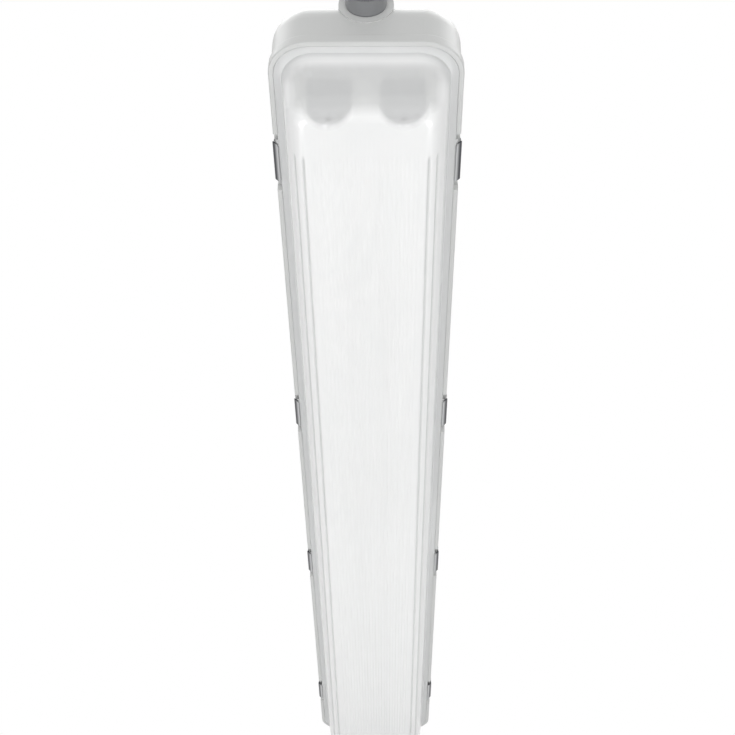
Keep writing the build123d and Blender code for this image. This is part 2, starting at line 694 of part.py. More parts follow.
def clamp_places():
    """Clamp screws of the terminal block: two rows of three, as x and y."""
    rows = (TERMINAL_Y - CLAMP_ROW_SPACING / 2, TERMINAL_Y + CLAMP_ROW_SPACING / 2)
    return [(pole * TERMINAL_PITCH, y) for pole in (-1, 0, 1) for y in rows]


def make_terminal_block():
    width, depth, height = TERMINAL_SIZE
    y_range = (TERMINAL_Y - depth / 2, TERMINAL_Y + depth / 2)
    top = TRAY_TOP + height
    block = span_box((-width / 2, width / 2), y_range, (TRAY_TOP, top))
    ear_reach = width / 2 + TERMINAL_EAR_WIDTH
    block += span_box((-ear_reach, ear_reach), y_range, (TRAY_TOP, TRAY_TOP + TERMINAL_EAR_T))
    for x, y in clamp_places():
        block -= rod_z(CLAMP_SCREW_R + SCREW_CLEARANCE, x, y, top - CLAMP_SCREW_DEPTH, top + 1)
    for x in terminal_screw_places():
        block -= rod_z(SMALL_SCREW_R + SCREW_CLEARANCE, x, TERMINAL_Y, TRAY_TOP - 1, top)
    return block


def make_clamp_screws():
    """Slotted grub screws, seated on the floor of their holes."""
    top = TRAY_TOP + TERMINAL_SIZE[2]
    screws = []
    for x, y in clamp_places():
        screw = rod_z(CLAMP_SCREW_R, x, y, top - CLAMP_SCREW_DEPTH, top - CLAMP_SCREW_R / 2)
        slot = span_box(
            (x - CLAMP_SCREW_R, x + CLAMP_SCREW_R),
            (y - CLAMP_SCREW_R / 4, y + CLAMP_SCREW_R / 4),
            (top - CLAMP_SCREW_R, top))
        screws.append(screw - slot)
    return Compound(children=screws)


def make_terminal_screws():
    seat = TRAY_TOP + TERMINAL_EAR_T
    return Compound(children=[small_screw(x, TERMINAL_Y, seat) for x in terminal_screw_places()])


def make_earth_stud():
    """Stud with its head under the tray."""
    return pan_screw(
        EARTH_STUD_R, SMALL_SCREW_HEAD_R, SMALL_SCREW_HEAD_T,
        0, EARTH_STUD_Y, TRAY_BOTTOM, EARTH_STUD_HEIGHT, 1)


def hexagon_bar(apothem, length):
    """Hexagon bar along Z, standing on the origin, with flats that face Y."""
    return extrude(RegularPolygon(apothem, 6, major_radius=False), length)


def make_earth_nut():
    nut = hexagon_bar(EARTH_NUT_APOTHEM, EARTH_NUT_T) - Cylinder(
        EARTH_STUD_R + THREAD_CLEARANCE, 4 * EARTH_NUT_T)
    return Pos(0, EARTH_STUD_Y, TRAY_TOP) * nut


def lead(points):
    """Insulated wire along straight runs joined by arcs."""
    path = FilletPolyline(*points, radius=LEAD_BEND_R)
    section = Plane(origin=path @ 0, z_dir=path % 0) * Circle(LEAD_R)
    return sweep(section, path=path)


def make_supply_lead(side):
    """Wire from an outer pole of the terminal block to the near end of the ballast."""
    start = TERMINAL_Y + TERMINAL_SIZE[1] / 2
    end = -BALLAST_LENGTH / 2
    pole_x, ballast_x = side * TERMINAL_PITCH, side * SUPPLY_LEAD_X
    ramp_top = end - LEAD_LEVEL_RUN
    ramp_low = ramp_top - LEAD_RAMP
    jog_end = ramp_low - LEAD_LEVEL_RUN
    return lead([
        (pole_x, start, LEAD_Z),
        (pole_x, jog_end - LEAD_JOG, LEAD_Z),
        (ballast_x, jog_end, LEAD_Z),
        (ballast_x, ramp_low, LEAD_Z),
        (ballast_x, ramp_top, BALLAST_LEAD_Z),
        (ballast_x, end, BALLAST_LEAD_Z)])


def make_earth_lead():
    """Straight wire from the middle pole to the nut on the earth stud."""
    start = TERMINAL_Y + TERMINAL_SIZE[1] / 2
    return rod_y(LEAD_R, 0, LEAD_Z, start, EARTH_STUD_Y - EARTH_NUT_APOTHEM)


def make_lamp_leads(way):
    """Wires from one end of the ballast to the feet of the two lampholders there."""
    leads = []
    end = BALLAST_LENGTH / 2
    ramp_top = end + LEAD_LEVEL_RUN
    ramp_low = ramp_top + LEAD_RAMP
    jog_start = ramp_low + LEAD_LEVEL_RUN
    for _, side in SIDES:
        ballast_x, foot_x = side * LAMP_LEAD_X, side * LAMP_PITCH / 2
        leads.append(lead([
            (ballast_x, way * end, BALLAST_LEAD_Z),
            (ballast_x, way * ramp_top, BALLAST_LEAD_Z),
            (ballast_x, way * ramp_low, LEAD_Z),
            (ballast_x, way * jog_start, LEAD_Z),
            (foot_x, way * (jog_start + LEAD_JOG), LEAD_Z),
            (foot_x, way * FOOT_FACE_Y, LEAD_Z)]))
    return Compound(children=leads)


def end_ring(outer_r, inner_r, y0, y1, way):
    """Ring round the axis of one end boss, between two distances from the middle."""
    ring = rod_y(outer_r, 0, BOSS_Z, way * y0, way * y1)
    return ring - rod_y(inner_r, 0, BOSS_Z, way * (y0 - 1), way * (y1 + 1))


def end_hexagon(apothem, y0, y1, way):
    """Hexagon bar on the axis of one end boss, between two distances from the middle."""
    bar = hexagon_bar(apothem, y1 - y0)
    return Pos(0, way * y0, BOSS_Z) * Rot(-90 * way, 0, 0) * bar


def make_washer(way):
    return end_ring(WASHER_R, BOSS_HOLE_R, BOSS_FACE_Y, FLANGE_SEAT_Y, way)


def make_locknut(way):
    bore = rod_y(
        GLAND_SHANK_R + THREAD_CLEARANCE, 0, BOSS_Z, way * SHANK_END_Y, way * FLANGE_SEAT_Y)
    return end_hexagon(LOCKNUT_APOTHEM, LOCKNUT_SEAT_Y - LOCKNUT_T, LOCKNUT_SEAT_Y, way) - bore


def make_gland_body():
    """Round collar, a shank through the boss and a neck for the dome nut."""
    body = rod_y(GLAND_COLLAR_R, 0, BOSS_Z, -FLANGE_SEAT_Y, -GLAND_FRONT_Y)
    body += rod_y(GLAND_SHANK_R, 0, BOSS_Z, -SHANK_END_Y, -GLAND_FRONT_Y)
    body += rod_y(GLAND_NECK_R, 0, BOSS_Z, -FLANGE_SEAT_Y, -GLAND_NECK_END_Y)
    return body - rod_y(GLAND_BORE_R, 0, BOSS_Z, -SHANK_END_Y + 1, -GLAND_NECK_END_Y - 1)


def make_gland_seal():
    """Rubber sleeve in the mouth of the gland body, which grips the cable."""
    return end_ring(
        GLAND_BORE_R - SEAL_CLEARANCE, SEAL_BORE_R,
        GLAND_NECK_END_Y - SEAL_LENGTH, GLAND_NECK_END_Y, -1)


def make_gland_nut():
    """Dome nut: a ridged grip, a rounded nose and a mouth for the cable."""
    grip_end = NUT_START_Y + NUT_GRIP_LENGTH
    front = NUT_START_Y + NUT_LENGTH
    neck_space = GLAND_NECK_END_Y + NUT_GAP
    bore_r = GLAND_NECK_R + NUT_CLEARANCE
    bulge = (NUT_R - (NUT_R - NUT_FRONT_R) / NUT_NOSE_FULLNESS, (grip_end + front) / 2)
    nose = ThreePointArc((NUT_R, grip_end), bulge, (NUT_FRONT_R, front))
    outline = nose + Polyline(
        (NUT_FRONT_R, front), (NUT_MOUTH_R, front), (NUT_MOUTH_R, neck_space),
        (bore_r, neck_space), (bore_r, NUT_START_Y), (NUT_R, NUT_START_Y), (NUT_R, grip_end))
    nut = revolve(make_face(outline), Axis.Y)
    for step in range(NUT_RIDGES):
        turn = Rot(0, 360 * step / NUT_RIDGES, 0)
        nut += turn * rod_y(NUT_RIDGE_R, NUT_R, 0, NUT_START_Y, grip_end)
    return Pos(0, 0, BOSS_Z) * mirror(nut, about=Plane.XZ)


def make_blind_plug():
    """Plug with a rounded flange that closes the far end boss."""
    flange = rod_y(PLUG_R, 0, BOSS_Z, FLANGE_SEAT_Y, FLANGE_SEAT_Y + PLUG_FLANGE_T)
    flange = fillet(flange.edges().sort_by(Axis.Y)[-1], PLUG_EDGE_R)
    return flange + rod_y(GLAND_SHANK_R, 0, BOSS_Z, SHANK_END_Y, FLANGE_SEAT_Y)


def all_parts():
    """Every piece of the fixture by its node name."""
    pieces = {
        "housing": make_housing(),
        "gasket": make_gasket(),
        "diffuser": make_diffuser(),
        "gear_tray": make_tray(),
        "tray_screws": make_tray_screws(),
        "ballast_case": make_ballast(),
        "ballast_core": ballast_space(CORE_CLEARANCE),
        "ballast_terminals": make_ballast_terminals(),
        "ballast_screws": make_ballast_screws(),
        "terminal_block": make_terminal_block(),
        "terminal_clamp_screws": make_clamp_screws(),
        "terminal_fixing_screws": make_terminal_screws(),
        "earth_stud": make_earth_stud(),
        "earth_nut": make_earth_nut(),
        "earth_lead": make_earth_lead(),
        "live_lead": make_supply_lead(-1),
        "neutral_lead": make_supply_lead(1),
        "lampholder_contacts": make_contacts(),
        "gland_washer": make_washer(-1),
        "gland_body": make_gland_body(),
        "gland_seal": make_gland_seal(),
        "gland_nut": make_gland_nut(),
        "gland_locknut": make_locknut(-1),
        "blind_plug_washer": make_washer(1),
        "blind_plug": make_blind_plug(),
        "blind_plug_locknut": make_locknut(1),
    }
    for end, way in ENDS:
        pieces[f"lamp_leads_{end}"] = make_lamp_leads(way)
        pieces[f"ceiling_bracket_{end}"] = make_bracket(way * BRACKET_SPACING / 2)
        for side_name, side in SIDES:
            pieces[f"lampholder_{end}_{side_name}"] = make_lampholder(side, way)
    for side_name, side in SIDES:
        pieces[f"lamp_tube_{side_name}"] = make_tube(side)
        pieces[f"lamp_caps_{side_name}"] = make_caps(side)
        pieces[f"lamp_pins_{side_name}"] = make_lamp_pins(side)
        pieces[f"lamp_rotors_{side_name}"] = make_rotors(side)
        pieces[f"latch_pins_{side_name}"] = make_latch_pins(side)
        for number, station in enumerate(LATCH_STATIONS, start=1):
            pieces[f"latch_{side_name}_{number}"] = make_latch(side, station)
    return pieces


os.makedirs("parts", exist_ok=True)
for name, shape in all_parts().items():
    export_step(shape, f"parts/{name}.step")
    print(f"{name}: {len(shape.solids())} solids")
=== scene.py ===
# %% [markdown]
# # A vapor tight ceiling light
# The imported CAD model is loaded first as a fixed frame. Every piece that is added later sits in the
# same frame, in metres: X across the light, Y along it away from the cable gland, Z up to the ceiling.

# %% Load the frame
import math

import bmesh
import bpy
import numpy as np
from mathutils import Matrix, Vector


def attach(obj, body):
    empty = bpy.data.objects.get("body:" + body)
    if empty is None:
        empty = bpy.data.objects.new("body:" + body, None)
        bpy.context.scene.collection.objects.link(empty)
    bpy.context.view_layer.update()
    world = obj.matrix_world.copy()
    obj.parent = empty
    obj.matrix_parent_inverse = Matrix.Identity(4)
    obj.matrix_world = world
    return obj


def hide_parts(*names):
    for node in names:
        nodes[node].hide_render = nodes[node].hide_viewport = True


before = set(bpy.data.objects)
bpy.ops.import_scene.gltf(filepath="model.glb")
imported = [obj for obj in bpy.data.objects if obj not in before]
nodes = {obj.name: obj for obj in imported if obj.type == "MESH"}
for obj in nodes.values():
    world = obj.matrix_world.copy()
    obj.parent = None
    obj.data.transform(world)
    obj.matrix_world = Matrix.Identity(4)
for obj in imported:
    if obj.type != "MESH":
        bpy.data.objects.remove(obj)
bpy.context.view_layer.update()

MM = 0.001

# %% [markdown]
# ## Small helpers
# A colour is easiest to read as a web colour, but shaders count in linear light, so one function
# turns one into the other. A few short ones add a shader node and wire it in one line: a straight ramp,
# a sum, a mix of two colours and a noise. The last two turn arrays of points and faces into a mesh.

# %% Helpers
def linear(hex_colour):
    """sRGB hex to linear RGBA: each channel c becomes c/12.92, or ((c+0.055)/1.055)^2.4 when bright."""
    channels = np.array([int(hex_colour[k:k + 2], 16) for k in (1, 3, 5)]) / 255
    low = channels / 12.92
    high = ((channels + 0.055) / 1.055) ** 2.4
    return (*np.where(channels <= 0.04045, low, high).tolist(), 1.0)


def feed(material, node, inputs):
    """Fills a node's inputs by name: a socket is wired in, anything else is set as the value."""
    for key, value in inputs.items():
        if isinstance(value, bpy.types.NodeSocket):
            material.node_tree.links.new(value, node.inputs[key])
        else:
            node.inputs[key].default_value = value


def add(material, kind, inputs=None, **settings):
    """Adds one shader node; inputs holds values, or the sockets that feed it."""
    node = material.node_tree.nodes.new(kind)
    for key, value in settings.items():
        setattr(node, key, value)
    feed(material, node, inputs or {})
    return node


def ramp(material, value, start=0.0, stop=1.0, first=0.0, last=1.0):
    """Carries start..stop over to first..last in a straight line, and holds both ends outside it."""
    node = add(material, "ShaderNodeMapRange", {
        "Value": value, "From Min": start, "From Max": stop, "To Min": first, "To Max": last})
    return node.outputs["Result"]


def reckon(material, operation, *numbers):
    """One step of arithmetic, such as MULTIPLY or MAXIMUM, on one or two numbers."""
    return add(material, "ShaderNodeMath", dict(enumerate(numbers)), operation=operation).outputs[0]


def blend(material, share, one, other):
    """Mix of two colours: one times (1 - share) plus other times share."""
    node = add(material, "ShaderNodeMix", {"Factor": share, "A": one, "B": other}, data_type="RGBA")
    return node.outputs["Result"]


def noise(material, place, lump_mm, detail):
    """A noise between 0 and 1 whose lumps are about as wide as given."""
    node = add(material, "ShaderNodeTexNoise", {
        "Vector": place, "Scale": 1 / (lump_mm * MM), "Detail": detail})
    return node.outputs["Fac"]


def new_material(name):
    """An empty material, its Principled shader and its place in the object's own frame."""
    material = bpy.data.materials.new(name)
    material.use_nodes = True
    place = add(material, "ShaderNodeTexCoord").outputs["Object"]
    return material, material.node_tree.nodes["Principled BSDF"], place


def new_piece(name, points, faces, material, smooth_angle=35, shade=None):
    """Mesh object from an array of points and a list of face index arrays.

    Shade, where given, is one number for each point, kept as an attribute for the material."""
    mesh = bpy.data.meshes.new(name)
    mesh.from_pydata(points.tolist(), [], [face for block in faces for face in block.tolist()])
    if shade is not None:
        mesh.attributes.new("shade", "FLOAT", "POINT").data.foreach_set("value", shade)
    shell = bmesh.new()
    shell.from_mesh(mesh)
    bmesh.ops.remove_doubles(shell, verts=shell.verts, dist=1e-6)
    bmesh.ops.recalc_face_normals(shell, faces=shell.faces)
    shell.to_mesh(mesh)
    shell.free()
    mesh.polygons.foreach_set("use_smooth", np.ones(len(mesh.polygons), dtype=bool))
    mesh.set_sharp_from_angle(angle=math.radians(smooth_angle))
    mesh.materials.append(material)
    piece = bpy.data.objects.new(name, mesh)
    bpy.context.scene.collection.objects.link(piece)
    return piece


def grid_quads(rows, columns, start=0, wrap=False):
    """Index quads of a grid of points in row order; wrap joins the last column to the first."""
    row = np.arange(rows - 1)[:, None]
    column = np.arange(columns if wrap else columns - 1)[None, :]
    after = (column + 1) % columns
    corners = (row * columns + column, row * columns + after,
               (row + 1) * columns + after, (row + 1) * columns + column)
    return start + np.stack(corners, axis=-1).reshape(-1, 4)


print("helpers ready")

# %% [markdown]
# ## Finishes
# The visible plastics are moulded, so each has a fine grain in its bump and a faint cloudiness in its
# colour. One function makes them, because only colour, grain and gloss differ from piece to piece.

# %% Moulded plastics
CLOUD_MM = 60.0
GRAIN_HEIGHT = 0.1 * MM
GRAIN_GLOSS = 0.06
PLASTIC_IOR = 1.5


def moulded(name, dark, light, grain_mm, bump, roughness, coat=0.0):
    """Colour drifts between two close tones; a noise of the grain's size drives bump and gloss."""
    material, shader, place = new_material(name)
    cloud = noise(material, place, CLOUD_MM, 3.0)
    grain = noise(material, place, grain_mm, 2.0)
    bumps = add(material, "ShaderNodeBump", {
        "Height": grain, "Strength": bump, "Distance": GRAIN_HEIGHT})
    feed(material, shader, {
        "Base Color": blend(material, cloud, linear(dark), linear(light)),
        "Roughness": ramp(material, grain, first=roughness - GRAIN_GLOSS, last=roughness + GRAIN_GLOSS),
        "Normal": bumps.outputs["Normal"],
        "IOR": PLASTIC_IOR,
        "Coat Weight": coat})
    return material


# Glass-filled polyester housing: pale grey, fine spark-eroded mould grain of about 0.8 mm
housing_polyester = moulded("moulded_polyester_grey", "#C6C7C6", "#CCCDCC", 0.8, 0.25, 0.42)
# Foamed silicone gasket: pale, matt, with open cells of about 0.5 mm
gasket_silicone = moulded("foamed_silicone", "#D2D3D3", "#DADBDB", 0.5, 0.6, 0.75)
# Grey EPDM rubber of the washers and the gland's seal: matt
seal_rubber = moulded("epdm_rubber_grey", "#707173", "#78797B", 0.5, 0.3, 0.65)
# Nylon gland and plug: mid grey, slightly glossy
gland_nylon = moulded("moulded_nylon_grey", "#848587", "#8C8D8F", 0.6, 0.3, 0.38)
# PBT lampholders and rotors: mid grey, satin
holder_pbt = moulded("moulded_pbt_grey", "#7C7D7F", "#858689", 0.5, 0.2, 0.45)
# Polyamide terminal blocks and white wire insulation
block_polyamide = moulded("moulded_polyamide_white", "#E2E1DC", "#E9E8E4", 0.5, 0.15, 0.4)
# Potting resin and black insulation
potting_resin = moulded("potting_resin_black", "#1B1B1C", "#232324", 1.2, 0.2, 0.35)
# PVC wire insulation
earth_pvc = moulded("pvc_insulation_green", "#2F7A3C", "#38864A", 0.8, 0.1, 0.4)
lamp_pvc = moulded("pvc_insulation_blue", "#2B4C8C", "#345799", 0.8, 0.1, 0.4)
# Powder-coated steel of tray and ballast: white, with orange peel of about 2 mm
tray_enamel = moulded("powder_coated_steel_white", "#EDEDEA", "#F1F1EF", 2.0, 0.15, 0.3, coat=0.2)
# Fluorescent tube: white phosphor seen through smooth clear glass
lamp_phosphor = moulded("phosphor_coated_glass", "#F3F3EF", "#F7F7F4", 4.0, 0.02, 0.16, coat=1.0)
print("plastics and enamels ready")

# %% [markdown]
# The latches are stainless strip, brushed along the light. Brushing is a noise stretched a hundred
# times along Y, so its lines run the way the sheet was rolled. Plated screws and brass are metals too,
# with fainter brushing and a little colour drift.

# %% Metals
LINE_HEIGHT, LINE_BUMP = 0.05 * MM, 0.25
LINE_GLOSS = 0.08
LIP_HEIGHTS = (-69.6 * MM, -71.8 * MM)


def brushed(name, dark, light, line_mm, roughness, stretch=0.01, lip_highlight=None):
    """A noise with lines of the given width, drawn out along Y, drives colour, gloss and bump.

    The lip colour, where given, takes over between the two lip heights, where a latch bends in
    under the lens: a painted highlight, as the lip catches light from below."""
    material, shader, place = new_material(name)
    drawn = add(material, "ShaderNodeMapping", {"Vector": place, "Scale": (1.0, stretch, 1.0)})
    lines = noise(material, drawn.outputs["Vector"], line_mm, 4.0)
    tone = blend(material, lines, linear(dark), linear(light))
    if lip_highlight:
        height = add(material, "ShaderNodeSeparateXYZ", {"Vector": place}).outputs["Z"]
        # painted highlight: the latch lip is coloured lighter between the two lip heights
        tone = blend(material, ramp(material, height, *LIP_HEIGHTS), tone, linear(lip_highlight))
    bumps = add(material, "ShaderNodeBump", {
        "Height": lines, "Strength": LINE_BUMP, "Distance": LINE_HEIGHT})
    feed(material, shader, {
        "Base Color": tone,
        "Roughness": ramp(material, lines, first=roughness - LINE_GLOSS, last=roughness + LINE_GLOSS),
        "Normal": bumps.outputs["Normal"],
        "Metallic": 1.0})
    return material


# Stainless latches and their pins: painted dark as shade on the plate, with a painted highlight on the
# lip; lines 0.4 mm wide
latch_stainless = brushed("stainless_painted_light", "#3C3D3F", "#54555A", 0.4, 0.36, lip_highlight="#C2C3C4")
# Stainless brackets: mid grey, the same brushing
bracket_stainless = brushed("brushed_stainless", "#7E7F81", "#9A9B9D", 0.4, 0.36)
# Zinc-plated screws: bluish white, nearly no brushing
screw_zinc = brushed("zinc_plated_steel", "#B9BCC1", "#CDD0D4", 1.0, 0.3, 0.5)
# Brass of contacts, pins and earth stud
contact_brass = brushed("brass", "#B8924A", "#CDA95E", 0.8, 0.3, 0.3)
# Drawn aluminium lamp caps
cap_aluminium = brushed("drawn_aluminium", "#C2C3C5", "#D2D3D5", 0.5, 0.28, 1.0)
print("metals ready")

# %% [markdown]
# The lens is opal polycarbonate. Most of the light scatters at its two skins, which gives an even white
# veil, and the rest goes straight through. The smooth ends let more through than the fluted stretch, so
# the lampholders show there as grey shapes, and nothing shows along the middle. The edge of each clear
# end is bowed in front of the two lampholders. Painted shade makes the end walls a little greyer, for
# the darker inside behind them; painted shade tones the grooves by the shade that the mesh carries;
# painted shade greys the flange, for the shadowed rim behind it, and the flange is matt. Shadow rays
# pass freely, so that light reaches the inside as it does through a real opal sheet.

# %% Opal lens
HAZE_MM = 35.0
OPAL_IOR, OPAL_ROUGHNESS, COAT_ROUGHNESS = 1.4, (0.40, 0.48), 0.2
# Where one look turns into the next, in metres: heights, distances from the middle plane and along
FLANGE_HEIGHTS = (-76.0 * MM, -72.0 * MM)
CLEAR_HEIGHTS = (-80.0 * MM, -92.0 * MM)
CLEAR_SIDES = (0.062, 0.054)
FACE_END = (0.615, 0.623)
END_WALL = (0.628, 0.641)
# The bow of the clear end: centred on a lampholder, over this half width, this deep
BOW_CENTRE, BOW_HALF, BOW_DEPTH = 0.030, 0.020, 0.014
# Shares of light that go straight through
CLEAR_MIDDLE, CLEAR_FACE, CLEAR_WALL = 0.20, 0.68, 0.42

opal_polycarbonate, shader, place = new_material("opal_polycarbonate")
opal = opal_polycarbonate
where = add(opal, "ShaderNodeSeparateXYZ", {"Vector": place}).outputs
sideways = reckon(opal, "ABSOLUTE", where["X"])
far_out = reckon(opal, "ABSOLUTE", where["Y"])
flangeward = ramp(opal, where["Z"], *FLANGE_HEIGHTS)

low = ramp(opal, where["Z"], *CLEAR_HEIGHTS)
inside = reckon(opal, "MULTIPLY", low, ramp(opal, sideways, *CLEAR_SIDES))
end_wall = reckon(opal, "MULTIPLY", inside, ramp(opal, far_out, *END_WALL))
offset = reckon(opal, "SUBTRACT", sideways, BOW_CENTRE)
bow = ramp(opal, reckon(opal, "MULTIPLY", offset, offset), 0.0, BOW_HALF ** 2, 0.0, BOW_DEPTH)
bowed_out = reckon(opal, "SUBTRACT", far_out, bow)
smooth_end = reckon(opal, "MULTIPLY", inside, ramp(opal, bowed_out, *FACE_END))

haze = noise(opal, place, HAZE_MM, 3.0)
painted_groove_shade = add(opal, "ShaderNodeAttribute", attribute_name="shade").outputs["Fac"]
tone = blend(opal, haze, linear("#F0F1F1"), linear("#F4F4F4"))
# painted shade on the flange, for the shadowed rim and housing seen behind it
tone = blend(opal, flangeward, tone, linear("#DADBDB"))
# painted shade in the grooves, driven by the shade attribute that the mesh carries
tone = blend(opal, painted_groove_shade, tone, linear("#CCCDCD"))
# painted shade on the end walls, for the darker inside seen through them
tone = blend(opal, end_wall, tone, linear("#DDDEDE"))
feed(opal, shader, {
    "Base Color": tone,
    "Roughness": ramp(opal, haze, 0.0, 1.0, *OPAL_ROUGHNESS),
    "IOR": OPAL_IOR,
    "Coat Weight": ramp(opal, flangeward, first=1.0, last=0.0),
    "Coat Roughness": COAT_ROUGHNESS})

clear_most = ramp(opal, end_wall, first=CLEAR_FACE, last=CLEAR_WALL)
clear = ramp(opal, smooth_end, first=CLEAR_MIDDLE, last=clear_most)
shadow = add(opal, "ShaderNodeLightPath").outputs["Is Shadow Ray"]
through = add(opal, "ShaderNodeBsdfTransparent").outputs["BSDF"]
veil = add(opal, "ShaderNodeMixShader", {
    0: reckon(opal, "MAXIMUM", clear, shadow), 1: shader.outputs["BSDF"], 2: through})
feed(opal, opal.node_tree.nodes["Material Output"], {"Surface": veil.outputs["Shader"]})
print("opal lens ready")

# %% [markdown]
# ## The lens
# The lens is a long tub with rounded corners, drafted walls and a flat face, and its flange sits in
# the rim. On the real moulding, fine flutes run along the face and two grooves along each lower edge,
# and they stop short of both ends. CAD makes a plainer tub with a flat face, so the lens is built again
# here as rings carried round a rounded rectangle, closed by a grid for the face.

# %% Lens outline
RIM_X, RIM_Y = 79.0, 655.0
RIM_BOTTOM, FLANGE_TOP, LENS_BOTTOM = -71.0, -68.0, -129.0
WALL_T = 2.5
EDGE_R = 18.0
DRAFT = math.radians(6.0)
WALL_INSET = 10.6
FLANGE_INSET, FLANGE_CORNER_R = 4.08, 28.92
TAB_REACH, TAB_HALF, TAB_BEVEL, TAB_STEP = 1.88, 21.0, 2.0, 0.3
STATIONS = np.array([-524.0, -157.0, 157.0, 524.0])
RIB_END, RIB_FADE = 588.0, 6.0
DEPTH = RIM_BOTTOM - LENS_BOTTOM
CORNER_SPARE = 2.9
WALL_CORNER_R = EDGE_R + DEPTH * math.tan(DRAFT) + CORNER_SPARE
CORE = np.array([RIM_X, RIM_Y]) - WALL_INSET - WALL_CORNER_R
FLANGE_CORE = np.array([RIM_X, RIM_Y]) - FLANGE_INSET - FLANGE_CORNER_R
FACE_R = WALL_CORNER_R - DEPTH * math.tan(DRAFT) - EDGE_R * math.tan((math.pi / 2 - DRAFT) / 2)


def length_marks():
    """Y of the points along a long side, as shares of the core: rib ends and both ends of each tab."""
    ends = np.array([RIB_END - RIB_FADE, RIB_END - RIB_FADE / 2, RIB_END])
    tabs = (STATIONS[:, None] + np.array([-1, 1]) * TAB_HALF).ravel()
    even = np.linspace(-CORE[1], CORE[1], 9)
    steps = np.concatenate([tabs - TAB_STEP, tabs + TAB_STEP, ends, -ends, even])
    return np.sort(steps) / CORE[1]


def outline(columns, arc_steps):
    """Core shares and directions round the tub: near end, right side, far end, left side.

    A ring's point is core share times core size plus radius times direction."""
    across = np.linspace(-1, 1, columns)
    along = length_marks()
    turn = np.linspace(0, math.pi / 2, arc_steps + 1)[1:]
    ones = np.ones
    near = np.stack([across, -ones(columns), 0 * across, -ones(columns)], axis=1)
    first = np.stack([ones(arc_steps), -ones(arc_steps), np.sin(turn), -np.cos(turn)], axis=1)
    right = np.stack([ones(len(along)), along, ones(len(along)), 0 * along], axis=1)
    second = np.stack([ones(arc_steps), ones(arc_steps), np.cos(turn), np.sin(turn)], axis=1)
    half = np.concatenate([near, first, right[1:], second])[:-1]
    return np.concatenate([half, -half])


def ring(path, core, radius, level, shade=0.0):
    """One ring: core share times core plus radius times direction, at one level; arrays broadcast.

    Each point has four numbers: its place, and how much painted shade its stretch of wall gets."""
    flat = path[:, :2] * core + path[:, 2:] * np.asarray(radius).reshape(-1, 1)
    levels = np.broadcast_to(level, len(path))
    shades = np.broadcast_to(shade, len(path))
    return np.column_stack([flat, levels, shades])


def rib_window(y):
    """1 along the ribbed length, easing to 0 at its ends as 3t^2 - 2t^3."""
    t = np.clip((RIB_END - np.abs(y)) / RIB_FADE, 0, 1)
    return t * t * (3 - 2 * t)


def tab_window(y):
    """1 on the stretches of the flange that carry a catch tab, 0 elsewhere."""
    return (np.abs(y[:, None] - STATIONS).min(axis=1) < TAB_HALF).astype(float)


print("lens core", np.round(CORE, 2), "face corner", round(FACE_R, 2))

# %% [markdown]
# The outer skin goes down from the flange: its top, its edge with the catch tabs, its underside, the
# drafted wall, then the rounded edge with its grooves. The face is a grid with the same points on its
# border, pushed in and out by the flutes. A plainer inner skin a wall's thickness away closes the tub.

# %% Lens surface
FLUTE_PITCH, FLUTE_DEPTH = 3.6, 0.13
GROOVE_ANGLES = np.radians([49.5, 75.5])
GROOVE_DEPTH, GROOVE_WIDTH = 1.1, 2.4
FLANGE_TOP_BEVEL, FLANGE_LOW_BEVEL = 0.4, 0.6
FOOT_REACH, FOOT_REST, FOOT_DROP = 0.7, 0.1, 0.3
WALL_START = 1.0


def long_side(path):
    """True for the points of the outline that face straight across, on the two long sides."""
    return np.abs(path[:, 2]) > 0.999


def flange_rings(path):
    """Flange from its inner top edge, over the catch tabs, to the foot of the wall."""
    tab = np.where(long_side(path), tab_window(path[:, 1] * CORE[1]), 0.0)
    reach = FLANGE_CORNER_R + TAB_REACH * tab
    bevel = FLANGE_LOW_BEVEL + (TAB_BEVEL - FLANGE_LOW_BEVEL) * tab
    return [
        ring(path, CORE, WALL_CORNER_R - WALL_T, FLANGE_TOP),
        ring(path, FLANGE_CORE, reach - FLANGE_TOP_BEVEL, FLANGE_TOP),
        ring(path, FLANGE_CORE, reach, FLANGE_TOP - FLANGE_TOP_BEVEL),
        ring(path, FLANGE_CORE, reach, RIM_BOTTOM + bevel),
        ring(path, FLANGE_CORE, reach - bevel, RIM_BOTTOM),
        ring(path, CORE, WALL_CORNER_R + FOOT_REACH, RIM_BOTTOM),
        ring(path, CORE, WALL_CORNER_R + FOOT_REST, RIM_BOTTOM - FOOT_DROP),
    ]


def tub_rings(path, wall, steps, grooves):
    """Drafted wall, then the rounded edge about one centre, with grooves along the long sides.

    A groove is a bell curve of the way along the edge, exp(-(way / half width)^2). It sinks the
    surface and is kept as the painted shade of its points."""
    edge = EDGE_R - wall
    centre_z = LENS_BOTTOM + EDGE_R
    rings = []
    wall_end = centre_z - edge * math.sin(DRAFT)
    for level in np.linspace(RIM_BOTTOM - WALL_START, wall_end, 5)[:-1]:
        slope = (RIM_BOTTOM - level) * math.tan(DRAFT)
        rings.append(ring(path, CORE, WALL_CORNER_R - wall / math.cos(DRAFT) - slope, level))
    sink = np.where(long_side(path), rib_window(path[:, 1] * CORE[1]), 0.0) * grooves
    for turn in np.linspace(DRAFT, math.pi / 2, steps):
        groove = np.exp(-((turn - GROOVE_ANGLES) * EDGE_R / (GROOVE_WIDTH / 2)) ** 2).sum()
        radius = edge - GROOVE_DEPTH * groove * sink
        level = centre_z - radius * math.sin(turn)
        rings.append(ring(path, CORE, FACE_R + radius * math.cos(turn), level, groove * sink))
    return rings


